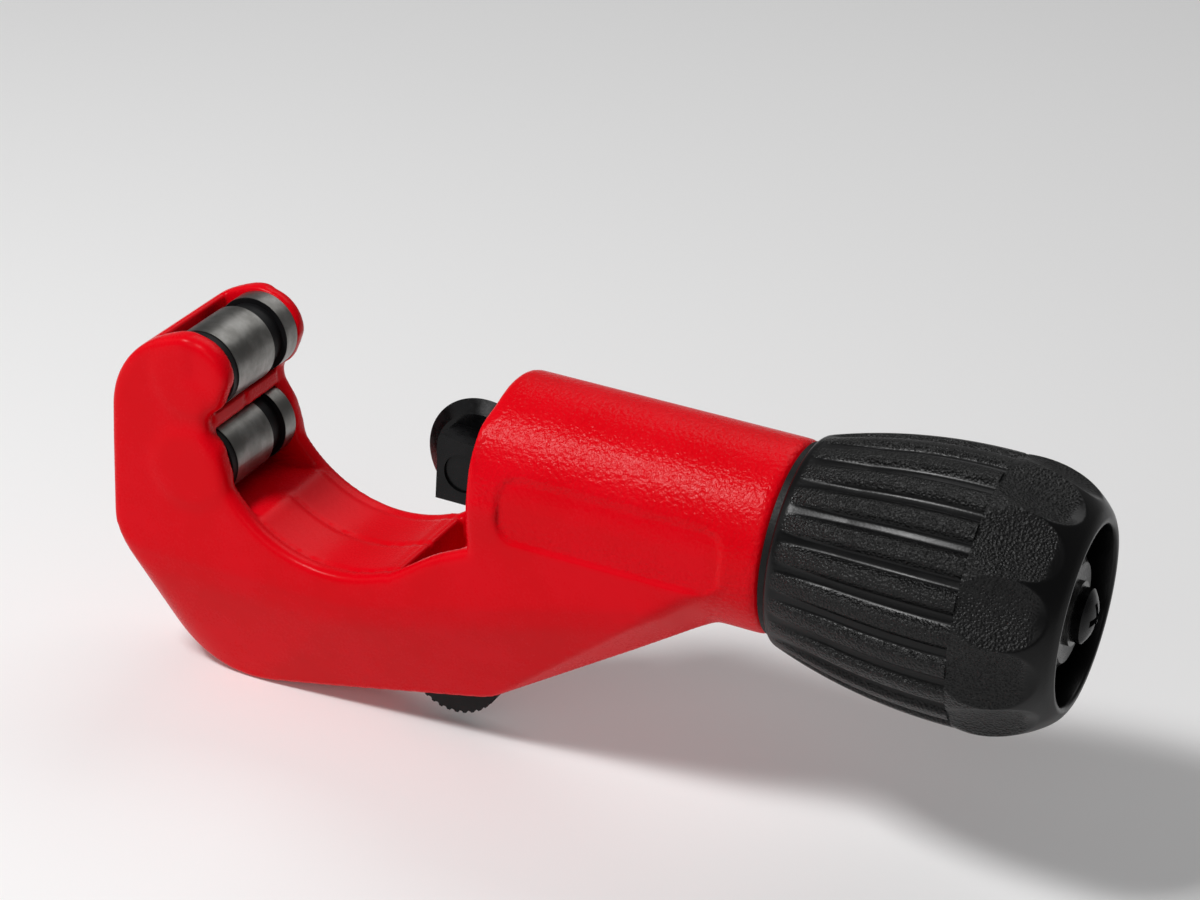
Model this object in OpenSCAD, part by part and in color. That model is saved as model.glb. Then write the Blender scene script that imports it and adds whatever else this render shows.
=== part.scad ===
// Telescopic pipe cutter for 6 to 35 mm tube.
// X runs along the barrel towards the knob, Y along the tube that is cut, Z up.
// The origin is the centre of a tube of rest_tube diameter held in the jaw.

/* [Tube] */
// Diameter of the tube that the jaw is set to
rest_tube = 28; // [24:0.5:30]
// Largest tube that the jaw takes
max_tube = 35; // [34:0.5:36]

/* [Rollers and wheel] */
// Diameter of the two support rollers
roller_d = 11.94; // [11.6:0.02:12.2]
// Distance between the two roller axes
roller_gap = 14.74; // [14:0.02:15]
// Diameter of the cutting wheel
wheel_d = 18; // [17:0.1:18.4]
// Thickness of the cutting wheel at its hub
wheel_t = 3; // [2.6:0.1:3.2]

/* [Barrel] */
// Outer diameter of the barrel
barrel_d = 28.26; // [27.6:0.02:29]
// Bore of the barrel that guides the slide
barrel_bore_d = 21.16; // [20.8:0.02:21.6]
// Front face of the barrel
barrel_front = 27.2; // [26.6:0.1:28]
// Rear face of the barrel
barrel_rear = 71.9; // [71:0.1:72.5]

/* [Frame] */
// Near side face of the frame
near_y = -14.1; // [-14.6:0.1:-13.8]
// Far side face of the jaw
far_y = 10.2; // [9.9:0.1:10.8]
// Radius of the hollow inside the jaw
throat_r = 20.9; // [20.6:0.1:21.2]

/* [Knob] */
// Largest diameter of the knob, over its ribs
knob_d = 39; // [38:0.1:40]
// Number of grip ribs round the front of the knob
rib_count = 24; // [16:1:28]
// Number of finger scallops round the rear of the knob
scallop_count = 12; // [8:1:12]

/* [Deburrer] */
// Diameter of the serrated thumb disc
thumb_d = 15.8; // [15.2:0.1:16.4]
// Thickness of the folding blade
blade_t = 1.8; // [1.4:0.1:2.2]

/* [Hidden] */

$fn = 96;
smooth_fn = 64;      // hull children
run_gap = 0.05;      // radial clearance of a running fit
end_gap = 0.05;      // axial clearance beside a turning piece
cut = 1;             // how far a cutter runs past the material

red = "crimson";
black = "#222222";
steel = "silver";
brass = "goldenrod";

// rollers, wheel and throat follow from the tube that is held
roller_r = roller_d / 2;
roller_z = roller_gap / 2;
roller_x = -sqrt(pow(rest_tube / 2 + roller_r, 2) - pow(roller_z, 2));
max_tube_x = roller_x + sqrt(pow(max_tube / 2 + roller_r, 2) - pow(roller_z, 2));
wheel_x = rest_tube / 2 + wheel_d / 2;
throat_x = roller_x + 23.46;
throat_z = 2.8;
roller_near = -10.88;
roller_far = 7.29;

// jaw: two side walls joined by a web
mid_y = (near_y + far_y) / 2;
web_seams = [-11.5, -2, 7.7];
seam_depth = 0.3;
wall = 2.6;
ear_r = 6.2;
ear_in_near = roller_near - end_gap;
ear_in_far = roller_far + end_gap;
head_r = 13.6;
pin_r = 2.5;
pocket_r = roller_r + 0.6;

// barrel and its neck
barrel_r = barrel_d / 2;
bore_r = barrel_bore_d / 2;
neck_r = 12.5;
neck_end = barrel_rear + 10;
ring_x = neck_end - 3;
ring_wire_r = 0.8;

// slide: round at the back, a square fork at the front
slide_r = bore_r - 0.08;
fork_front = wheel_x - 4.2;
fork_w = 14;
fork_h = 9.8;
slot_w = wheel_t + 0.4;
slot_end = wheel_x + wheel_d / 2 + 1.5;
slide_end = 76;
axle_head_r = 2.95;
clip_r = 3.9;

// knob, spindle and the spare wheel stored in the knob
knob_r = knob_d / 2;
knob_front = barrel_rear + 1.15;
knob_rear = 114.4;
step_x = 101;
front_arc_r = 80;
front_arc_x = 99;
rear_arc_r = 14;
rear_arc_x = 103.3;
rear_rise = 0.1;
knob_phase = 9.5;
rib_groove_r = 1.5;
groove_start_r = 16;
groove_rise = 8;
scallop_r = 12;
scallop_tilt = 14.6;
scallop_start_r = 18.96;
knob_floor = neck_end + 2;
web_end = 94;
spindle_r = 4;
spindle_tip = 41;
spindle_flange = 2;
hex_across = 9;
sleeve_end = 109.6;
spare_end = sleeve_end + wheel_t;
screw_r = 2;
screw_head_r = 3.9;

// deburrer in the keel
pivot = [21.7, -33.8];
stored_angle = 27;
thumb_r = thumb_d / 2;
thumb_t = 4.4;
pivot_r = 1.5;
serrations = 36;

// A cylinder along Y between two Y values, its axis through (x, z)
module ycyl(x, z, r, y0, y1, fn = $fn)
    translate([x, y1, z]) rotate([90, 0, 0]) cylinder(h = y1 - y0, r = r, $fn = fn);

// A cylinder along X between two X values, on the barrel axis
module xcyl(r, x0, x1, fn = $fn)
    translate([x0, 0, 0]) rotate([0, 90, 0]) cylinder(h = x1 - x0, r = r, $fn = fn);

// A flat XZ outline given thickness between two Y values
module slab(y0, y1)
    translate([0, y1, 0]) rotate([90, 0, 0]) linear_extrude(y1 - y0) children();

// A profile drawn as (X, radius) turned round the barrel axis
module turned()
    rotate([0, 90, 0]) rotate_extrude() mirror([1, -1]) children();

// The frame's solid block: flat sides above, a keel that narrows below
module frame_block() {
    keel_half = 5.8;
    hull() {
        ycyl(roller_x + 0.2, 0, head_r, near_y, far_y, smooth_fn);
        ycyl(-25.8, -18, 6, near_y, far_y, smooth_fn);
        ycyl(5.5, -4, 20, near_y, far_y, smooth_fn);
        ycyl(55.5, -8.9, 2, near_y, far_y, smooth_fn);
        ycyl(63.5, -2, 2, near_y, far_y, smooth_fn);
        ycyl(-11, -27.3, 16.7, mid_y - keel_half, mid_y + keel_half, smooth_fn);
        ycyl(25.2, -26.1, 10, mid_y - keel_half, mid_y + keel_half, smooth_fn);
        ycyl(59.8, -10, 4, mid_y - keel_half, mid_y + keel_half, smooth_fn);
    }
}

// Everything that the open jaw and the space above the keel remove
module jaw_space() {
    ycyl(throat_x, throat_z, throat_r, near_y - cut, far_y + cut);
    slab(near_y - cut, far_y + cut)
        polygon([[14.5, -15.8], [17.1, -13.6], [19.2, -12.4], [22.7, -10.4], [barrel_front, -8.2],
                 [barrel_front, 40], [roller_x, 40], [roller_x, roller_z]]);
    translate([barrel_front - 0.1, near_y - cut, 0]) cube([60, far_y - near_y + 2 * cut, 40]);
    for (y = web_seams)
        ycyl(throat_x, throat_z, throat_r + seam_depth, y - seam_depth, y + seam_depth);
}

// Pocket that a roller lies in, open towards the jaw and away from the other roller
module roller_pocket(side) {
    pocket_z = side * roller_z;
    ycyl(roller_x, pocket_z, pocket_r, ear_in_near, ear_in_far);
    slab(ear_in_near, ear_in_far)
        polygon([[roller_x, pocket_z - side * (pocket_r - 0.8)], [0, pocket_z - side * (pocket_r - 0.8)],
                 [0, pocket_z + side * pocket_r], [roller_x, pocket_z + side * pocket_r]]);
}

// Hollow between the side walls under the barrel
module upper_pocket()
    slab(near_y + wall, far_y - wall)
        polygon([[15.6, -14.5], [17, -20], [26, -18.2], [40, -14.5], [52, -11], [52, -2],
                 [barrel_front, -2], [barrel_front, -8.2], [15, -5]]);

// Slot in the keel that the blade and the thumb disc turn in
module blade_slot() {
    slab(mid_y - 1.5, mid_y + 1.5)
        polygon([[pivot[0] - 9, -50], [pivot[0] - 9, pivot[1] + 3], [18, -20], [60, -8],
                 [60, -50]]);
    ycyl(pivot[0], pivot[1], thumb_r + 0.7, mid_y - thumb_t / 2 - 0.4, mid_y + thumb_t / 2 + 0.05);
}

module label_panel() {
    depth = 0.35;
    corner = 3;
    intersection() {
        slab(near_y - cut, near_y + 3)
            union() {
                translate([32, -4.8 + corner]) square([34, 9.8 - 2 * corner]);
                translate([32 + corner, -4.8]) square([34 - 2 * corner, 9.8]);
                for (x = [32 + corner, 66 - corner], z = [-4.8 + corner, 5 - corner])
                    translate([x, z]) circle(r = corner, $fn = 48);
            }
        union() {
            difference() {
                xcyl(barrel_r + cut, barrel_front, barrel_rear);
                xcyl(barrel_r - depth, barrel_front - cut, barrel_rear + cut);
            }
            translate([barrel_front, near_y - cut, -12]) cube([40, cut + depth, 12]);
        }
    }
}

module frame() color(red)
    difference() {
        union() {
            difference() {
                frame_block();
                jaw_space();
                upper_pocket();
            }
            for (s = [-1, 1])
                ycyl(roller_x, s * roller_z, ear_r, near_y, far_y);
            xcyl(barrel_r, barrel_front, barrel_rear);
            xcyl(neck_r, barrel_rear - cut, neck_end);
        }
        xcyl(bore_r, barrel_front - cut, neck_end + cut);
        ycyl(max_tube_x, 0, max_tube / 2 + 0.25, near_y - cut, far_y + cut);
        for (s = [-1, 1]) {
            roller_pocket(s);
            ycyl(roller_x, s * roller_z, pin_r, near_y + 1.2, far_y + cut);
        }
        slab(ear_in_near, ear_in_far)
            polygon([[roller_x - pocket_r, roller_z], [roller_x, roller_z], [roller_x, 20],
                     [roller_x - pocket_r, 20]]);
        turned() translate([ring_x, neck_r + 0.25]) circle(r = ring_wire_r, $fn = 48);
        blade_slot();
        label_panel();
        ycyl(pivot[0], pivot[1], pivot_r, mid_y - 5.6, far_y);
        translate([45, 0, -barrel_r - cut]) cylinder(h = 6, r = 1.5);
    }

module guide_pin() color(steel)
    translate([45, 0, -barrel_r]) cylinder(h = 5.2, r = 1.5);

module thrust_ring() color(black)
    turned() translate([barrel_rear, neck_r + 0.02]) square([1.1, barrel_r - neck_r - 0.1]);

module retaining_ring() color(steel)
    turned() translate([ring_x, neck_r + 0.25]) circle(r = ring_wire_r, $fn = 48);

// One support roller: plain body, a flare groove and a narrow shoulder
module roller(z) color(steel)
    translate([roller_x, 0, z]) rotate([90, 0, 0]) rotate_extrude()
        difference() {
            translate([pin_r + run_gap, -roller_far])
                square([roller_r - pin_r - run_gap, roller_far - roller_near]);
            translate([roller_r - 0.9, -4.28]) square([cut, 3.68]);
            translate([roller_r - 0.15, 9.67]) square([cut, 2]);
        }

module roller_upper() roller(roller_z);
module roller_lower() roller(-roller_z);

module roller_pin(z) color(steel)
    ycyl(roller_x, z, pin_r, near_y + 1.2, far_y - 0.4);

module roller_pin_upper() roller_pin(roller_z);
module roller_pin_lower() roller_pin(-roller_z);

module slide() color(black)
    difference() {
        union() {
            xcyl(slide_r, slot_end, slide_end);
            translate([fork_front, -fork_w / 2, -fork_h / 2])
                cube([slot_end - fork_front + cut, fork_w, fork_h]);
        }
        translate([fork_front - cut, -slot_w / 2, -slide_r - cut])
            cube([slot_end - fork_front + cut, slot_w, 2 * slide_r + 2 * cut]);
        ycyl(wheel_x, 0, pin_r, -fork_w / 2 - cut, fork_w / 2 + cut);
        ycyl(wheel_x, 0, axle_head_r + 0.05, -fork_w / 2 - cut, -fork_w / 2 + 1.6);
        ycyl(wheel_x, 0, clip_r + 0.1, fork_w / 2 - 1.4, fork_w / 2 + cut);
        xcyl(spindle_r + 0.4, slot_end - cut, slide_end + cut);
        xcyl(6.5, slide_end - 14, slide_end + cut);
        translate([slot_end - cut, -1.6, -slide_r - cut]) cube([60, 3.2, cut + 2]);
    }

module drive_nut() color(brass)
    difference() {
        xcyl(6.5, slide_end - 14, slide_end);
        xcyl(spindle_r + run_gap, slide_end - 15, slide_end + cut);
    }

// A cutting wheel lying in XY, its rim ground to an edge
module wheel_solid(bore_r) {
    r = wheel_d / 2;
    rotate_extrude()
        polygon([[bore_r, -wheel_t / 2], [r - 1.9, -wheel_t / 2], [r - 0.1, -0.08], [r, 0],
                 [r - 0.1, 0.08], [r - 1.9, wheel_t / 2], [bore_r, wheel_t / 2]]);
}

module cutter_wheel() color(black)
    translate([wheel_x, 0, 0]) rotate([90, 0, 0]) wheel_solid(pin_r + run_gap);

module wheel_axle() color(steel)
    difference() {
        union() {
            ycyl(wheel_x, 0, pin_r, -fork_w / 2 + 1, fork_w / 2 - 0.3);
            ycyl(wheel_x, 0, axle_head_r, -fork_w / 2 + 0.4, -fork_w / 2 + 1.6);
        }
        translate([wheel_x, fork_w / 2 - 0.6, 0]) rotate([90, 0, 0])
            rotate_extrude() translate([pin_r - 0.4, 0]) square([cut, 0.8]);
    }

module axle_clip() color(steel)
    difference() {
        ycyl(wheel_x, 0, clip_r, fork_w / 2 - 1.37, fork_w / 2 - 0.63);
        ycyl(wheel_x, 0, pin_r - 0.38, 0, fork_w);
        translate([wheel_x, fork_w / 2 - 2, -1.7]) cube([clip_r + cut, 2, 3.4]);
    }

// Outline of the knob in (X, radius): two arcs that meet at the step
module knob_front_outline()
    intersection() {
        translate([front_arc_x, knob_r - front_arc_r]) circle(r = front_arc_r, $fn = 240);
        translate([knob_front, 0]) square([step_x - knob_front, 40]);
    }

module knob_rear_outline()
    intersection() {
        translate([rear_arc_x, knob_r + rear_rise - rear_arc_r]) circle(r = rear_arc_r, $fn = 120);
        translate([step_x - cut, 0]) square([knob_rear - step_x + cut, 40]);
    }

// One straight cutter for each groove, laid along the curved side
module rib_grooves()
    for (i = [0 : rib_count - 1])
        rotate([knob_phase + (i + 0.5) * 360 / rib_count, 0, 0])
            translate([70, 0, groove_start_r])
                rotate([0, 90 - groove_rise, 0])
                    cylinder(h = 34, r = rib_groove_r, $fn = 24);

module scallops()
    for (i = [0 : scallop_count - 1])
        rotate([knob_phase + i * 360 / scallop_count, 0, 0])
            translate([step_x, 0, scallop_start_r + scallop_r])
                rotate([0, 90 + scallop_tilt, 0])
                    translate([0, 0, -5]) cylinder(h = 30, r = scallop_r);

module knob() color(black)
    difference() {
        union() {
            difference() {
                turned() knob_front_outline();
                rib_grooves();
            }
            difference() {
                turned() knob_rear_outline();
                scallops();
            }
        }
        // front socket over the barrel's neck
        xcyl(neck_r + 0.12, knob_front - cut, knob_floor);
        turned() translate([ring_x, neck_r + 0.25]) circle(r = ring_wire_r + 0.12, $fn = 48);
        // hexagonal hole for the spindle
        xcyl(hex_across / 2 / cos(30) + 0.05, knob_floor - cut, web_end + cut, 6);
        xcyl(7.1, knob_floor - cut, knob_floor + spindle_flange + 0.05);
        // open rear end
        turned() polygon([[web_end, 5.5], [web_end, 14.6], [knob_rear - 6, 13.4],
                          [knob_rear + cut, 12.7], [knob_rear + cut, 5.5]]);
        xcyl(5.6, web_end, knob_rear + cut);
    }

module spindle() color(steel)
    difference() {
        union() {
            xcyl(spindle_r, spindle_tip, knob_floor);
            xcyl(7, knob_floor, knob_floor + spindle_flange);
            xcyl(hex_across / 2 / cos(30), knob_floor, web_end - 0.1, 6);
        }
        xcyl(screw_r + 0.02, 78, web_end + cut);
    }

module thrust_washer() color("ivory")
    difference() {
        xcyl(neck_r - 0.2, neck_end + 0.05, knob_floor - 0.05);
        xcyl(bore_r + 0.2, neck_end, knob_floor + cut);
    }

module spacer_sleeve() color(steel)
    difference() {
        union() {
            xcyl(5, web_end, sleeve_end);
            xcyl(pin_r - 0.02, sleeve_end - cut, spare_end - 0.1);
        }
        xcyl(screw_r + 0.02, web_end - cut, spare_end + cut);
    }

module spare_wheel() color(steel)
    translate([sleeve_end + wheel_t / 2, 0, 0]) rotate([0, 90, 0]) wheel_solid(pin_r);

module storage_washer() color(steel)
    difference() {
        xcyl(4.6, spare_end, spare_end + 0.6);
        xcyl(screw_r + 0.02, spare_end - cut, spare_end + cut);
    }

module storage_screw() color(black)
    difference() {
        union() {
            xcyl(screw_r, 80, spare_end + 1);
            turned() intersection() {
                translate([spare_end + 0.6, 0]) square([2.6, screw_head_r]);
                translate([spare_end - 3.3, 0]) circle(r = 6.5);
            }
        }
        for (a = [0, 90])
            rotate([a, 0, 0]) translate([spare_end + 2, -0.5, -2.2]) cube([3, 1, 4.4]);
    }

// Flat blade in its own plane: pivot at the origin, point along +X
module blade_outline() {
    circle(r = 5);
    polygon([[0, -4.6], [27, -3.4], [37, 0.4], [35, 1.6], [27, 3], [8, 4.4], [0, 4.9]]);
}

module deburrer_blade() color(steel)
    difference() {
        translate([pivot[0], mid_y + blade_t / 2, pivot[1]]) rotate([90, 0, 0])
            rotate([0, 0, stored_angle]) linear_extrude(blade_t) blade_outline();
        ycyl(pivot[0], pivot[1], pivot_r + run_gap, mid_y - 5, mid_y + 5);
    }

// Serrated disc moulded round the root of the blade
module thumb_disc() color(black)
    difference() {
        ycyl(pivot[0], pivot[1], thumb_r, mid_y - thumb_t / 2, mid_y + thumb_t / 2);
        for (i = [0 : serrations - 1])
            translate([pivot[0], 0, pivot[1]]) rotate([0, i * 360 / serrations, 0])
                ycyl(thumb_r + 0.1, 0, 0.45, mid_y - thumb_t, mid_y + thumb_t, 16);
        translate([pivot[0], mid_y + blade_t / 2, pivot[1]]) rotate([90, 0, 0])
            rotate([0, 0, stored_angle]) linear_extrude(blade_t) blade_outline();
        ycyl(pivot[0], pivot[1], pivot_r + run_gap, mid_y - 5, mid_y + 5);
    }

module deburrer_pivot() color(steel)
    ycyl(pivot[0], pivot[1], pivot_r, mid_y - 5.6, mid_y + 5.8);

module friction_washer() color(steel)
    difference() {
        ycyl(pivot[0], pivot[1], 4, mid_y - thumb_t / 2 - 0.37, mid_y - thumb_t / 2 - 0.03);
        ycyl(pivot[0], pivot[1], pivot_r + 0.02, mid_y - 5, mid_y);
    }

frame();
guide_pin();
thrust_ring();
retaining_ring();
roller_upper();
roller_lower();
roller_pin_upper();
roller_pin_lower();
slide();
drive_nut();
cutter_wheel();
wheel_axle();
axle_clip();
knob();
spindle();
thrust_washer();
spacer_sleeve();
spare_wheel();
storage_washer();
storage_screw();
deburrer_blade();
thumb_disc();
deburrer_pivot();
friction_washer();
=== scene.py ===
import math

import bpy
import numpy as np
from mathutils import Matrix, Quaternion, Vector


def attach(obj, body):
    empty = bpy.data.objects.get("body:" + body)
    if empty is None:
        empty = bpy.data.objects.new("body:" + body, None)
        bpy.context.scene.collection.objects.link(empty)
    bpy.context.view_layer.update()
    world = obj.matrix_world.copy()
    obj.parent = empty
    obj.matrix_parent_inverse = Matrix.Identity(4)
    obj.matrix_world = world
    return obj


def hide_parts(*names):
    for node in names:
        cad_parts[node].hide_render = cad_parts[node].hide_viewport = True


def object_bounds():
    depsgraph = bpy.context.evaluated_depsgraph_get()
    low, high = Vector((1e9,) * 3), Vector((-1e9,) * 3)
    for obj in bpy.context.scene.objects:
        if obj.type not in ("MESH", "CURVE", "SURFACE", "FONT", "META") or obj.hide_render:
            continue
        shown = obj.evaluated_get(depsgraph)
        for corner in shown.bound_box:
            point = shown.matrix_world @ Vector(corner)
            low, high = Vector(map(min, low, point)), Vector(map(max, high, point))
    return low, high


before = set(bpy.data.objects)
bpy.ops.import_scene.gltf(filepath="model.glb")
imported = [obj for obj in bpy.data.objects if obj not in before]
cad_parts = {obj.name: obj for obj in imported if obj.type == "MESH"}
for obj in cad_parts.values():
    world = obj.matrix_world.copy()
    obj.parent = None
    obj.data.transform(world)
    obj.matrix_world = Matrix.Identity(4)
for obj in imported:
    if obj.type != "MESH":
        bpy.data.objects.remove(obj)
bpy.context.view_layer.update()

MM = 0.001

# ---------------------------------------------------------------- CAD sizes, in millimetres
NEAR_Y, FAR_Y = -14.1, 10.2          # side faces of the jaw
MID_Y, HALF_Y = (NEAR_Y + FAR_Y) / 2, (FAR_Y - NEAR_Y) / 2
KEEL_HALF = 5.8
ROLLER_X, ROLLER_Z, ROLLER_R = -18.558, 7.37, 5.97
POCKET_R, EAR_R, PIN_R = 6.57, 6.2, 2.5
EAR_IN_NEAR, EAR_IN_FAR = -10.93, 7.34
THROAT = (ROLLER_X + 23.46, 2.8, 20.9)
BARREL_R, BARREL_FRONT, BARREL_REAR = 14.13, 27.2, 71.9
BORE_R, NECK_R, NECK_END = 10.58, 12.5, 81.9
PIVOT, THUMB_R, THUMB_T = (21.7, -33.8), 7.9, 4.4
WEB_GROOVES = (-11.5, -2.0, 7.7)
# the block's outline is the hull of these circles (x, z, radius), on the sides and at the keel
SIDE_CIRCLES = [(ROLLER_X + 0.2, 0, 13.6), (-25.8, -18, 6), (5.5, -4, 20),
                (55.5, -8.9, 2), (63.5, -2, 2)]
KEEL_CIRCLES = [(-11, -27.3, 16.7), (25.2, -26.1, 10), (59.8, -10, 4)]

# ---------------------------------------------------------------- casting details, in millimetres
CREASE = 0.04                        # softness where a side face turns into the bevel, as a share
EDGE_ROUND, THROAT_ROUND, EAR_ROUND, BARREL_ROUND = 1.3, 1.6, 1.9, 1.7
GROOVE_DEPTH, GROOVE_HALF_WIDTH, GROOVE_REACH = 0.42, 0.34, 0.9
SIDE_WALL = 2.6                      # casting left beside the hollow under the barrel
LARGEST_TUBE = (3.72, 0, 17.75)
PIN_SKIN = 1.2                       # casting left over the rollers' pins on the near side
BLADE_SLOT_HALF, PIVOT_HOLE_R, PIVOT_HOLE_REACH = 1.5, 1.55, 5.4
PANEL_LOW, PANEL_HIGH, PANEL_CORNER, PANEL_DEPTH = (32, -4.8), (66, 5), 3, 0.42
CASTING_BOX = (-34, -16, -46), (84, 16, 16)
FINE_STEP, QUICK_STEP = 0.56, 0.8    # grid steps of the distance field
RELAX_ROUNDS = 3                     # times that the surface's points are evened out
HULL_DIRECTIONS = 480                # directions in which the block's outline is measured


# ---------------------------------------------------------------- distance fields
def smax(a, b, k):
    """Larger of two fields, with the corner between them rounded over k."""
    h = np.maximum(k - np.abs(a - b), 0) / k
    return np.maximum(a, b) + h * h * (k / 4)


def smin(a, b, k):
    """Smaller of two fields, rounded in the same way."""
    return -smax(-a, -b, k)


def circle(x, z, cx, cz, r):
    """Signed distance to a circle in the XZ plane."""
    return np.hypot(x - cx, z - cz) - r


def polygon(x, z, points):
    """Signed distance to a closed outline in the XZ plane."""
    best = np.full(np.broadcast(x, z).shape, 1e9, np.float32)
    inside = np.zeros(best.shape, bool)
    for (x0, z0), (x1, z1) in zip(points, points[1:] + points[:1]):
        ex, ez = x1 - x0, z1 - z0
        t = np.clip(((x - x0) * ex + (z - z0) * ez) / (ex * ex + ez * ez), 0, 1)
        best = np.minimum(best, np.hypot(x - x0 - t * ex, z - z0 - t * ez))
        crosses = (z0 <= z) != (z1 <= z)
        if ez:
            inside ^= crosses & (x < x0 + (z - z0) * ex / ez)
    return np.where(inside, -best, best)


def rounded_box(x, z, low, high, r):
    """Signed distance to a rectangle in the XZ plane whose corners have radius r."""
    dx = np.abs(x - (low[0] + high[0]) / 2) - (high[0] - low[0]) / 2 + r
    dz = np.abs(z - (low[1] + high[1]) / 2) - (high[1] - low[1]) / 2 + r
    return np.hypot(np.maximum(dx, 0), np.maximum(dz, 0)) + np.minimum(np.maximum(dx, dz), 0) - r


def between(v, low, high):
    """Signed distance to the slab from low to high."""
    return np.abs(v - (low + high) / 2) - (high - low) / 2


def block_field(x, y, z):
    """The casting's block: flat sides above, and a keel that narrows below."""
    angles = np.linspace(0, 2 * math.pi, HULL_DIRECTIONS, endpoint=False)
    nx, nz = np.cos(angles), np.sin(angles)

    def support(circles):
        return np.max([cx * nx + cz * nz + r for cx, cz, r in circles], axis=0)

    side = support(SIDE_CIRCLES)
    extra = np.maximum(support(KEEL_CIRCLES) - side, 0)
    flare = HALF_Y - KEEL_HALF
    reach = (x[:, 0, :, None] * nx + z[:, 0, :, None] * nz).astype(np.float32)
    out = np.empty(np.broadcast(x, y, z).shape, np.float32)
    for j, yy in enumerate(y[0, :, 0]):
        u = (abs(yy - MID_Y) - KEEL_HALF) / flare
        t = min(max((u + math.hypot(u, CREASE)) / 2, 0), 1)
        d = reach - (side + (1 - t) * extra).astype(np.float32)
        pick = d.argmax(-1)
        best = np.take_along_axis(d, pick[..., None], -1)[..., 0]
        slope = extra[pick] / flare * (0 < u < 1)
        out[:, j, :] = best / np.sqrt(1 + slope * slope)
    return smax(out, np.abs(y - MID_Y) - HALF_Y, EDGE_ROUND)


def casting_field(x, y, z):
    """The whole red casting, with its edges rounded as a die leaves them."""
    beside = np.abs(y - MID_Y) - HALF_Y
    radial = np.hypot(y, z)
    far = 60.0                           # well outside the casting
    # jaw opening, the three fine grooves across its web, and the hollow under the barrel
    jaw = polygon(x, z, [(14.5, -15.8), (17.1, -13.6), (19.2, -12.4), (22.7, -10.4),
                         (BARREL_FRONT, -8.2), (BARREL_FRONT, far), (ROLLER_X, far),
                         (ROLLER_X, ROLLER_Z)])
    jaw = smin(smin(circle(x, z, *THROAT), jaw, 1.0), np.maximum(BARREL_FRONT - x, -z), 0.8)
    f = smax(block_field(x, y, z), -jaw, THROAT_ROUND)
    near_web = np.exp(-(circle(x, z, *THROAT) / GROOVE_REACH) ** 2)
    for groove in WEB_GROOVES:
        f = f + GROOVE_DEPTH * near_web * np.exp(-((y - groove) / GROOVE_HALF_WIDTH) ** 2)
    hollow = polygon(x, z, [(15.6, -14.5), (17, -20), (26, -18.2), (40, -14.5), (52, -11),
                            (52, -2), (BARREL_FRONT, -2), (BARREL_FRONT, -8.2), (15, -5)])
    inside = between(y, NEAR_Y + SIDE_WALL, FAR_Y - SIDE_WALL)
    f = smax(f, -np.maximum(hollow, inside), 0.9)
    # roller ears
    for side in (1, -1):
        lobe = smax(circle(x, z, ROLLER_X, side * ROLLER_Z, EAR_R), beside, EAR_ROUND)
        f = smin(f, lobe, 1.2)
    # barrel and neck
    barrel = smax(radial - BARREL_R, between(x, BARREL_FRONT, BARREL_REAR), BARREL_ROUND)
    f = smin(f, barrel, 1.6)
    f = np.minimum(f, np.maximum(radial - NECK_R, between(x, BARREL_REAR - 1, NECK_END)))
    f = smax(f, -np.maximum(radial - BORE_R, BARREL_FRONT - 1 - x), 0.8)
    # room for the largest tube, the rollers and their pins
    f = smax(f, -circle(x, z, *LARGEST_TUBE), 0.5)
    inner = between(y, EAR_IN_NEAR, EAR_IN_FAR)
    for side in (1, -1):
        cz = side * ROLLER_Z
        shelf = rounded_box(x, side * z, (ROLLER_X, ROLLER_Z - POCKET_R + 0.8),
                            (2, ROLLER_Z + POCKET_R), 0.1)
        pocket = np.minimum(circle(x, z, ROLLER_X, cz, POCKET_R), shelf)
        if side > 0:
            above = rounded_box(x, z, (ROLLER_X - POCKET_R, ROLLER_Z), (ROLLER_X + 6, 24), 0.1)
            pocket = np.minimum(pocket, above)
        f = smax(f, -np.maximum(pocket, inner), 0.5)
        pin = circle(x, z, ROLLER_X, cz, PIN_R + 0.05)
        f = np.maximum(f, -np.maximum(pin, NEAR_Y + PIN_SKIN - y))
    # slot for the deburrer
    slot = polygon(x, z, [(PIVOT[0] - 9, -50), (PIVOT[0] - 9, PIVOT[1] + 3), (18, -20),
                          (60, -8), (60, -50)])
    f = smax(f, -np.maximum(slot, np.abs(y - MID_Y) - BLADE_SLOT_HALF), 0.4)
    disc = np.maximum(circle(x, z, *PIVOT, THUMB_R + 0.7), np.abs(y - MID_Y) - THUMB_T / 2 - 0.4)
    f = smax(f, -disc, 0.4)
    pivot_hole = np.maximum(circle(x, z, *PIVOT, PIVOT_HOLE_R), MID_Y - PIVOT_HOLE_REACH - y)
    f = np.maximum(f, -pivot_hole)
    # shallow panel on the near side of the barrel
    skin = np.where(z > 0, BARREL_R - PANEL_DEPTH - radial, y - NEAR_Y - PANEL_DEPTH)
    outline = rounded_box(x, z, PANEL_LOW, PANEL_HIGH, PANEL_CORNER)
    panel = np.maximum(outline, np.maximum(skin, y + 5))
    return smax(f, -panel, 0.25)


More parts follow.
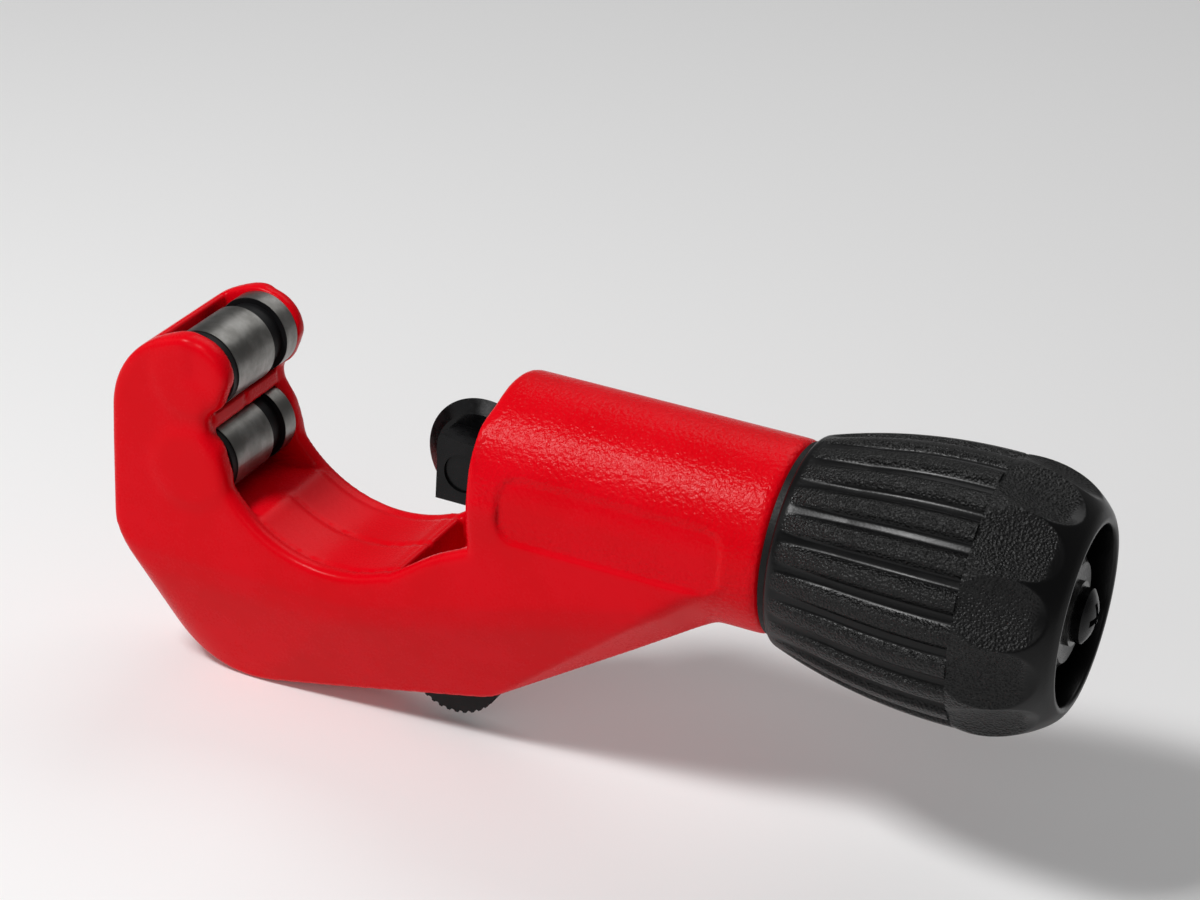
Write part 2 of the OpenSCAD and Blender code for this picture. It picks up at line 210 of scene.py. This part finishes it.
def surface_net(field, low, step):
    """Vertices (mm) and quads where the field changes sign on a grid.

    Each grid edge that crosses the surface gives one quad between its four cells, and
    each cell's vertex is the mean of the crossings on its edges.
    """
    inside = field < 0
    shape = np.array(field.shape)
    strides = np.array([shape[1] * shape[2], shape[2], 1])
    cells, points, quads = [], [], []
    for axis in range(3):
        lo = [slice(None)] * 3
        hi = [slice(None)] * 3
        lo[axis], hi[axis] = slice(None, -1), slice(1, None)
        a, b = inside[tuple(lo)], inside[tuple(hi)]
        idx = np.argwhere(a != b)
        others = [k for k in range(3) if k != axis]
        idx = idx[(idx[:, others] > 0).all(1)]
        fa = field[tuple(idx.T)]
        nxt = idx.copy()
        nxt[:, axis] += 1
        fb = field[tuple(nxt.T)]
        p = idx.astype(float)
        p[:, axis] += fa / (fa - fb)
        u, v = others
        ring = []
        for du, dv in ((1, 1), (0, 1), (0, 0), (1, 0)):
            cell = idx.copy()
            cell[:, u] -= du
            cell[:, v] -= dv
            ring.append(cell @ strides)
            cells.append(ring[-1])
            points.append(p)
        quad = np.stack(ring, 1)
        flip = (fa < 0) != (axis == 1)
        quad[~flip] = quad[~flip][:, ::-1]
        quads.append(quad)
    cells, points = np.concatenate(cells), np.concatenate(points)
    used, where = np.unique(cells, return_inverse=True)
    count = np.bincount(where)
    verts = np.stack([np.bincount(where, points[:, k]) / count for k in range(3)], 1)
    quads = np.searchsorted(used, np.concatenate(quads))
    return verts * step + low, quads


def sample(field, low, step, p):
    """Field value and gradient at points, by trilinear interpolation."""
    q = (p - low) / step
    i = np.clip(np.floor(q).astype(int), 0, np.array(field.shape) - 2)
    t = q - i
    c = {}
    for a in (0, 1):
        for b in (0, 1):
            for d in (0, 1):
                c[a, b, d] = field[i[:, 0] + a, i[:, 1] + b, i[:, 2] + d]

    def mix(values, w):
        return values[0] * (1 - w) + values[1] * w

    tx, ty, tz = t.T
    value = mix([mix([mix([c[a, b, 0], c[a, b, 1]], tz) for b in (0, 1)], ty) for a in (0, 1)], tx)
    gx = mix([mix([c[1, b, 0] - c[0, b, 0], c[1, b, 1] - c[0, b, 1]], tz) for b in (0, 1)], ty)
    gy = mix([mix([c[a, 1, 0] - c[a, 0, 0], c[a, 1, 1] - c[a, 0, 1]], tz) for a in (0, 1)], tx)
    gz = mix([mix([c[a, b, 1] - c[a, b, 0] for b in (0, 1)], ty) for a in (0, 1)], tx)
    return value, np.stack([gx, gy, gz], 1) / step


def field_mesh(name, function, low, high, step):
    """A closed piece from a distance field, its points evened out and pulled on to the surface."""
    low = np.array(low, float)
    n = np.ceil((np.array(high) - low) / step).astype(int) + 1
    axes = [(low[k] + step * np.arange(n[k])).astype(np.float32) for k in range(3)]
    x, y, z = np.meshgrid(*axes, indexing="ij", sparse=True)
    x2, z2 = np.broadcast_arrays(x, z)
    field = np.ascontiguousarray(np.broadcast_to(function(x2, y, z2), n), dtype=np.float32)
    verts, quads = surface_net(field, low, step)
    for _ in range(RELAX_ROUNDS):
        total = np.zeros_like(verts)
        share = np.zeros(len(verts))
        for k in range(4):
            a, b = quads[:, k], quads[:, (k + 1) % 4]
            for m in range(3):
                total[:, m] += np.bincount(a, verts[b, m], len(verts))
            share += np.bincount(a, minlength=len(verts))
        verts += 0.5 * (total / share[:, None] - verts)
        value, slope = sample(field, low, step, verts)
        size = np.maximum((slope ** 2).sum(1), 0.2)
        verts -= np.clip(value / size, -step, step)[:, None] * slope
    return make_piece(name, verts, quads)


def add_object(name, data):
    obj = bpy.data.objects.new(name, data)
    bpy.context.scene.collection.objects.link(obj)
    return obj


def make_piece(name, verts_mm, faces, smooth=True):
    """A mesh object from points in millimetres and faces that all have as many corners."""
    mesh = bpy.data.meshes.new(name)
    faces = np.asarray(faces)
    mesh.vertices.add(len(verts_mm))
    mesh.vertices.foreach_set("co", (np.asarray(verts_mm) * MM).astype(np.float32).ravel())
    mesh.loops.add(faces.size)
    mesh.loops.foreach_set("vertex_index", faces.ravel().astype(np.int32))
    mesh.polygons.add(len(faces))
    starts = np.arange(len(faces)) * faces.shape[1]
    mesh.polygons.foreach_set("loop_start", starts.astype(np.int32))
    mesh.update(calc_edges=True)
    mesh.validate()
    mesh.polygons.foreach_set("use_smooth", np.full(len(mesh.polygons), smooth))
    return add_object(name, mesh)


# ---------------------------------------------------------------- materials
class Maker:
    """Short ways to add nodes to one material."""

    def __init__(self, name):
        self.material = bpy.data.materials.new(name)
        self.material.use_nodes = True
        self.tree = self.material.node_tree
        self.shader = self.tree.nodes["Principled BSDF"]
        self.place = self.node("ShaderNodeTexCoord").outputs["Object"]

    def node(self, kind, **values):
        n = self.tree.nodes.new(kind)
        for key, value in values.items():
            setattr(n, key, value)
        return n

    def link(self, a, b):
        self.tree.links.new(a, b)

    def put(self, socket, value):
        """Links an output to the socket, or sets a plain value on it."""
        if hasattr(value, "is_linked"):
            self.link(value, socket)
        else:
            socket.default_value = value

    def math(self, op, a, b=0.0):
        n = self.node("ShaderNodeMath", operation=op)
        for socket, value in zip(n.inputs, (a, b)):
            self.put(socket, value)
        return n.outputs[0]

    def radius(self, a, b):
        return self.math("SQRT", self.math("ADD", self.math("MULTIPLY", a, a),
                                           self.math("MULTIPLY", b, b)))

    def noise(self, scale, detail, rough, stretch=None):
        n = self.node("ShaderNodeTexNoise")
        n.inputs["Scale"].default_value = scale
        n.inputs["Detail"].default_value = detail
        n.inputs["Roughness"].default_value = rough
        if stretch:
            m = self.node("ShaderNodeMapping")
            m.inputs["Scale"].default_value = stretch
            self.link(self.place, m.inputs["Vector"])
            self.link(m.outputs[0], n.inputs["Vector"])
        else:
            self.link(self.place, n.inputs["Vector"])
        return n.outputs[0]

    def cells(self, scale, smooth):
        n = self.node("ShaderNodeTexVoronoi", feature="SMOOTH_F1")
        n.inputs["Scale"].default_value = scale
        n.inputs["Smoothness"].default_value = smooth
        self.link(self.place, n.inputs["Vector"])
        return n.outputs["Distance"]

    def ramp(self, value, low, high, out_low=0.0, out_high=1.0):
        n = self.node("ShaderNodeMapRange", interpolation_type="SMOOTHSTEP")
        for socket, v in zip(n.inputs[:5], (value, low, high, out_low, out_high)):
            self.put(socket, v)
        return n.outputs[0]

    def mix(self, factor, a, b):
        n = self.node("ShaderNodeMix", data_type="RGBA")
        self.put(n.inputs[0], factor)
        self.put(n.inputs[6], a)
        self.put(n.inputs[7], b)
        return n.outputs[2]

    def bump(self, height, distance, strength):
        n = self.node("ShaderNodeBump")
        n.inputs["Distance"].default_value = distance
        self.put(n.inputs["Strength"], strength)
        self.link(height, n.inputs["Height"])
        self.link(n.outputs[0], self.shader.inputs["Normal"])

    def set(self, **values):
        for key, value in values.items():
            self.put(self.shader.inputs[key.replace("_", " ")], value)


def rgb(r, g, b):
    return (r, g, b, 1.0)


def red_casting():
    """Glossy red powder coat; its wrinkle is coarse on the barrel and fine on the jaw."""
    m = Maker("red_powder_coat")
    split = m.node("ShaderNodeSeparateXYZ")
    m.link(m.place, split.inputs[0])
    radial = m.radius(split.outputs[1], split.outputs[2])
    off_barrel = m.math("ABSOLUTE", m.math("SUBTRACT", radial, 0.0141))
    on_barrel = m.math("MULTIPLY", m.ramp(split.outputs[0], 0.025, 0.030),
                       m.ramp(off_barrel, 0.0006, 0.0002))
    coarse = m.noise(1500, 2.0, 0.5)
    fine = m.noise(2600, 2.0, 0.5)
    patch = m.noise(90, 3.0, 0.5)
    wrinkle = m.math("MULTIPLY", coarse, m.ramp(on_barrel, 0, 1, 0.55, 1.0))
    height = m.math("ADD", wrinkle, m.math("MULTIPLY", fine, 0.35))
    m.bump(height, 0.00019, m.ramp(on_barrel, 0, 1, 0.20, 0.85))
    gloss = m.math("ADD", m.math("MULTIPLY", patch, 0.6), m.math("MULTIPLY", fine, 0.4))
    deep, bright = rgb(0.65, 0.0003, 0.005), rgb(0.69, 0.0006, 0.007)
    m.set(Base_Color=m.mix(m.ramp(patch, 0.3, 0.7), deep, bright),
          Roughness=m.ramp(gloss, 0.3, 0.7, 0.22, 0.32),
          Specular_IOR_Level=0.08)
    return m.material


def grained_plastic():
    """Black moulded plastic: leather grain where the grain mask says so, satin elsewhere."""
    m = Maker("black_grained_plastic")
    mask = m.node("ShaderNodeAttribute", attribute_name="grain").outputs["Fac"]
    cells = m.cells(2600, 0.35)
    fine = m.noise(3800, 3.0, 0.6)
    patch = m.noise(160, 3.0, 0.55)
    height = m.math("ADD", cells, m.math("MULTIPLY", fine, 0.55))
    m.bump(height, 0.00026, m.ramp(mask, 0, 1, 0.04, 0.85))
    m.set(Base_Color=m.mix(m.math("MULTIPLY", mask, m.ramp(cells, 0.2, 0.6)),
                           rgb(0.0016, 0.0016, 0.0018), rgb(0.0075, 0.0075, 0.0075)),
          Roughness=m.math("ADD", m.ramp(mask, 0, 1, 0.28, 0.30),
                           m.math("MULTIPLY", m.ramp(patch, 0.3, 0.7), 0.08)),
          Specular_IOR_Level=0.23)
    return m.material


def ground_steel(name, axis_x, axis_z, dark_under):
    """Ground steel with fine rings; anything nearer the axis than dark_under is blackened."""
    m = Maker(name)
    split = m.node("ShaderNodeSeparateXYZ")
    m.link(m.place, split.inputs[0])
    dx = m.math("SUBTRACT", split.outputs[0], axis_x * MM)
    dz = m.math("SUBTRACT", split.outputs[2], axis_z * MM)
    dark = m.ramp(m.radius(dx, dz), (dark_under - 0.02) * MM, (dark_under + 0.02) * MM, 1.0, 0.0)
    rings = m.noise(1.0, 3.0, 0.7, stretch=(60, 5200, 60))
    smear = m.noise(260, 4.0, 0.6)
    m.bump(m.math("ADD", rings, m.math("MULTIPLY", smear, 0.3)), 0.00002, 0.5)
    steel = m.mix(m.ramp(smear, 0.35, 0.7), rgb(0.18, 0.176, 0.165), rgb(0.29, 0.285, 0.272))
    m.set(Base_Color=m.mix(dark, steel, rgb(0.005, 0.005, 0.0055)), Specular_IOR_Level=0.2,
          Metallic=m.ramp(dark, 0, 1, 1.0, 0.05),
          Roughness=m.math("ADD", m.ramp(rings, 0.3, 0.7, 0.30, 0.44),
                           m.math("MULTIPLY", dark, 0.15)))
    return m.material


def metal(name, dark, light, low, high, stretch=None, metallic=1.0, specular=0.5):
    """Metal with smears and fine tool marks; low and high are its roughness."""
    m = Maker(name)
    marks = m.noise(1.0 if stretch else 900, 3.0, 0.65, stretch=stretch)
    smear = m.noise(300, 4.0, 0.6)
    m.bump(m.math("ADD", marks, m.math("MULTIPLY", smear, 0.4)), 0.00002, 0.6)
    gloss = m.math("ADD", m.math("MULTIPLY", marks, 0.5), m.math("MULTIPLY", smear, 0.5))
    m.set(Base_Color=m.mix(m.ramp(smear, 0.3, 0.7), rgb(*dark), rgb(*light)),
          Metallic=metallic, Roughness=m.ramp(gloss, 0.35, 0.65, low, high),
          Specular_IOR_Level=specular)
    return m.material


def plain_plastic(name, dark, light, rough):
    """Moulded plastic with a fine grain and faint patches; dark and light are greys or colours."""
    m = Maker(name)
    grain = m.noise(2400, 3.0, 0.6)
    patch = m.noise(200, 3.0, 0.5)
    m.bump(grain, 0.00008, 0.5)
    m.set(Base_Color=m.mix(m.ramp(patch, 0.3, 0.7), rgb(*dark), rgb(*light)),
          Roughness=m.ramp(grain, 0.3, 0.7, rough - 0.05, rough + 0.08),
          Specular_IOR_Level=0.2)
    return m.material


def floor_material():
    m = Maker("pale_floor")
    patch = m.noise(3.0, 2.0, 0.5)
    m.set(Base_Color=m.mix(patch, rgb(0.80, 0.80, 0.80), rgb(0.84, 0.84, 0.84)),
          Roughness=0.6, Specular_IOR_Level=0.2,
          Emission_Color=rgb(1, 1, 1), Emission_Strength=0.05)
    return m.material


# ---------------------------------------------------------------- knob
KNOB_R, KNOB_FRONT, KNOB_REAR = 19.5, 73.05, 114.4
STEP_X, RIBS, SCALLOPS, PHASE = 101.0, 24, 12, math.radians(9.5)
FRONT_ARC = (99.0, 80.0)             # x and radius of the profile's arc over the ribs
REAR_ARC = (103.3, 14.0, 19.6)       # x, radius and top of the arc over the scallops
RIB_DEPTH, RIB_LEAD = 1.05, 9.0      # full depth, and the length over which it grows
SCALLOP_R, SCALLOP_AXIS_R, SCALLOP_TILT = 12.0, 30.96, 0.26
RIM_ROUND = 0.8
CAVITY_X, SOCKET_X, SOCKET_R = 94, 83.9, 12.62


def knob_front_r(x, turn):
    """Ribbed part: radius and grain, with broad grained crests and narrower smooth valleys."""
    cx, r = FRONT_ARC
    outer = KNOB_R - r + np.sqrt(r * r - (x - cx) ** 2)
    wave = (np.cos(turn * RIBS) + 1) / 2                      # 1 on a crest, 0 in a valley
    valley = 1 - np.clip((wave - 0.05) / 0.70, 0, 1)
    valley = 0.86 * valley * valley * (3 - 2 * valley) + 0.14 * (1 - wave)
    depth = RIB_DEPTH * np.clip((x - KNOB_FRONT - 1.2) / RIB_LEAD, 0, 1) ** 0.7
    lead = np.clip((x - KNOB_FRONT) / 0.7, 0, 1)
    round_front = 0.5 * (1 - np.sqrt(1 - (1 - lead) ** 2 * 0.999))
    return outer - depth * valley - round_front, np.clip((wave - 0.20) / 0.20, 0, 1)


def knob_rear_r(x, turn):
    """Scalloped part: radius and grain; each scallop is a cylinder laid along the rounded end."""
    cx, r, top = REAR_ARC
    outer = top - r + np.sqrt(np.maximum(r * r - (x - cx) ** 2, 0))
    pitch = 2 * math.pi / SCALLOPS
    off = (turn + pitch / 2) % pitch - pitch / 2
    centre = SCALLOP_AXIS_R - SCALLOP_TILT * (x - STEP_X)
    half_chord = np.sqrt(np.maximum(SCALLOP_R ** 2 - (centre * np.sin(off)) ** 2, 0))
    floor = centre * np.cos(off) - half_chord
    lip = np.clip((x - (KNOB_REAR - RIM_ROUND)) / RIM_ROUND, 0, 1)
    cut = smin(outer, floor, 0.12)
    grain = np.clip((outer - floor) / 0.15, 0, 1) * np.clip((111.8 - x) / 1.6, 0, 1)
    remnant = np.clip((108.5 - x) / 2.0, 0, 1) * (outer <= floor)
    return cut - 0.35 * lip ** 2, np.maximum(grain, remnant)


def knob_rings():
    """Rings (x, radii, grain): front socket, outside from front to rim, then the cavity."""
    turn = np.linspace(0, 2 * math.pi, RIBS * 20, endpoint=False)
    plain = np.zeros(len(turn))
    socket = [(SOCKET_X, 1.0), (SOCKET_X, 8), (SOCKET_X, 12.4), (SOCKET_X - 0.05, SOCKET_R),
              (78, SOCKET_R), (KNOB_FRONT + 0.15, SOCKET_R), (KNOB_FRONT, 12.75),
              (KNOB_FRONT, 14.2)]
    ribbed = np.concatenate([KNOB_FRONT + np.array([0, 0.05, 0.15, 0.3, 0.5, 0.75]),
                             np.linspace(KNOB_FRONT + 1.1, STEP_X - 0.35, 74),
                             [STEP_X - 0.15, STEP_X - 0.03]])
    scalloped = np.concatenate([[STEP_X + 0.03, STEP_X + 0.15],
                                np.linspace(STEP_X + 0.4, KNOB_REAR - 0.9, 56),
                                KNOB_REAR - np.array([0.7, 0.5, 0.3, 0.15, 0.05, 0])])
    cavity = [(KNOB_REAR, 13.45), (KNOB_REAR - 0.12, 13.0), (KNOB_REAR - 0.5, 12.85),
              (KNOB_REAR - 3, 13.1), (KNOB_REAR - 6, 13.4), (102, 14.0), (95.2, 14.55),
              (94.3, 14.3), (CAVITY_X, 13.6), (CAVITY_X, 10), (CAVITY_X, 6.5), (CAVITY_X, 5.02)]
    rings = [(x, plain + r, plain) for x, r in socket]
    for x in ribbed:
        r, grain = knob_front_r(x, turn)
        rings.append((x, r, grain * np.clip((x - KNOB_FRONT - 0.6) / 1.5, 0, 1)))
    rings += [(x, *knob_rear_r(x, turn)) for x in scalloped]
    rings += [(x, plain + r, plain) for x, r in cavity]
    return rings, turn


def make_knob():
    """The knob as one closed mesh, with its grain mask as an attribute."""
    rings, turn = knob_rings()
    count = len(turn)
    angle = turn + PHASE
    verts = [np.stack([np.full(count, x), -r * np.sin(angle), r * np.cos(angle)], 1)
             for x, r, grain in rings]
    a = np.arange(count)
    b = (a + 1) % count
    faces = []
    for k in range(len(rings) - 1):
        near, far = k * count, (k + 1) * count
        faces += np.stack([near + a, near + b, far + b, far + a], 1).tolist()
    # a fan closes each end: the socket's floor and the cavity's floor
    first, last = len(rings) * count, len(rings) * count + 1
    base = (len(rings) - 1) * count
    verts = np.concatenate(verts + [[[SOCKET_X, 0, 0], [CAVITY_X, 0, 0]]])
    faces += np.stack([b, a, np.full(count, first)], 1).tolist()
    faces += np.stack([base + a, base + b, np.full(count, last)], 1).tolist()
    mesh = bpy.data.meshes.new("knob_grip")
    mesh.from_pydata((verts * MM).tolist(), [], faces)
    mesh.update()
    mesh.polygons.foreach_set("use_smooth", np.ones(len(mesh.polygons), bool))
    mesh.set_sharp_from_angle(angle=math.radians(55))
    layer = mesh.attributes.new("grain", "FLOAT", "POINT")
    grains = np.concatenate([grain for x, r, grain in rings] + [np.zeros(2)])
    layer.data.foreach_set("value", grains.astype(np.float32))
    return add_object("knob_grip", mesh)


# ---------------------------------------------------------------- scene
def put(piece, body, node, material):
    """Shows the piece in place of a CAD node, on its body."""
    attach(piece, body)
    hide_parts(node)
    piece.data.materials.append(material)


def dress(node, material, bevel):
    """Gives a CAD node its material, and soft edges (bevel in mm) where it has sharp ones."""
    obj = bpy.data.objects[node]
    obj.data.materials.clear()
    obj.data.materials.append(material)
    if bevel:
        mod = obj.modifiers.new("edge", "BEVEL")
        mod.width, mod.segments, mod.limit_method = bevel * MM, 2, "ANGLE"
        mod.angle_limit = math.radians(35)


step = FINE_STEP
casting = field_mesh("casting", casting_field, *CASTING_BOX, step)
put(casting, "frame", "frame", red_casting())
put(make_knob(), "knob", "knob", grained_plastic())

ALONG_BARREL, DOWN_BLADE = (3600, 60, 60), (90, 90, 2600)    # how tool marks are squeezed
oxide = metal("black_oxide", (0.0018, 0.0018, 0.002), (0.005, 0.005, 0.0055), 0.22, 0.34,
              metallic=0.1, specular=0.18)
steel = metal("plain_steel", (0.40, 0.40, 0.39), (0.56, 0.56, 0.55), 0.28, 0.42)
dull = metal("dull_steel", (0.10, 0.10, 0.098), (0.16, 0.16, 0.157), 0.3, 0.44)
turned = metal("turned_steel", (0.42, 0.42, 0.41), (0.60, 0.60, 0.59), 0.22, 0.36, ALONG_BARREL)
brass = metal("turned_brass", (0.55, 0.36, 0.12), (0.68, 0.48, 0.20), 0.25, 0.40, ALONG_BARREL)
blade = metal("blade_steel", (0.48, 0.48, 0.47), (0.62, 0.62, 0.61), 0.24, 0.36, DOWN_BLADE)
ring = plain_plastic("black_ring", (0.003, 0.003, 0.003), (0.006, 0.006, 0.006), 0.5)
washer = plain_plastic("washer_plastic", (0.70, 0.68, 0.60), (0.80, 0.78, 0.71), 0.45)
thumb = plain_plastic("thumb_plastic", (0.004, 0.004, 0.004), (0.010, 0.010, 0.010), 0.45)

for side, node in ((1, "roller_upper"), (-1, "roller_lower")):
    dress(node, ground_steel(node + "_steel", ROLLER_X, side * ROLLER_Z, ROLLER_R - 0.08), 0.12)
for node, material, bevel in (
        ("cutter_wheel", oxide, 0.06), ("slide", oxide, 0.35), ("wheel_axle", oxide, 0.1),
        ("axle_clip", steel, 0.08), ("drive_nut", brass, 0.15), ("guide_pin", steel, 0.1),
        ("thrust_ring", ring, 0.1), ("retaining_ring", steel, None),
        ("roller_pin_upper", steel, 0.2), ("roller_pin_lower", steel, 0.2),
        ("spindle", turned, 0.15), ("thrust_washer", washer, 0.05),
        ("spacer_sleeve", turned, 0.15), ("spare_wheel", oxide, 0.05),
        ("storage_washer", dull, 0.05), ("storage_screw", oxide, 0.12),
        ("deburrer_blade", blade, 0.12), ("thumb_disc", thumb, 0.1),
        ("deburrer_pivot", steel, 0.1), ("friction_washer", steel, None)):
    dress(node, material, bevel)

# floor at the model's lowest point, soft light, and the camera at the photograph's view
CAM_POS = Vector((0.200049, -0.370113, 0.207373))
CAM_TURN = Vector((1.100103, 0.188064, 0.422712))
CAM_LENS, CAM_SENSOR = 94.68, 36.0
scene = bpy.context.scene

lens = bpy.data.cameras.new("camera")
lens.sensor_width, lens.lens = CAM_SENSOR, CAM_LENS
lens.clip_start = 0.01
camera = add_object("camera", lens)
camera.matrix_world = (Matrix.Translation(CAM_POS)
                       @ Quaternion(CAM_TURN.normalized(), CAM_TURN.length).to_matrix().to_4x4())
scene.camera = camera

FLOOR_HALF = 3.0 / MM
corners = [(-1, -1), (1, -1), (1, 1), (-1, 1)]
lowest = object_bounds()[0][2] / MM
floor = make_piece("floor", [(a * FLOOR_HALF, b * FLOOR_HALF, lowest) for a, b in corners],
                   [[0, 1, 2, 3]], smooth=False)
floor.data.materials.append(floor_material())


def softbox(name, place, width, height, power):
    """A rectangular light (metres, watts) that faces the middle of the tool."""
    light = bpy.data.lights.new(name, "AREA")
    light.shape, light.size, light.size_y, light.energy = "RECTANGLE", width, height, power
    obj = add_object(name, light)
    obj.location = place
    aim = Vector(CENTRE) - Vector(place)
    obj.rotation_euler = aim.to_track_quat("-Z", "Y").to_euler()


CENTRE = (0.04, 0.0, -0.01)
softbox("key", (-0.18, -0.30, 0.55), 0.15, 0.13, 3.6)
softbox("back", (0.05, 0.5, 0.6), 0.6, 0.4, 1.3)
softbox("near", (0.15, -0.75, 0.45), 0.5, 0.3, 0.65)
softbox("left", (-0.7, -0.2, 0.3), 0.5, 0.5, 0.4)

world = bpy.data.worlds.new("world")
scene.world = world
world.use_nodes = True
world.node_tree.nodes["Background"].inputs["Color"].default_value = (1, 1, 1, 1)
world.node_tree.nodes["Background"].inputs["Strength"].default_value = 0.15
scene.view_settings.view_transform = "Standard"
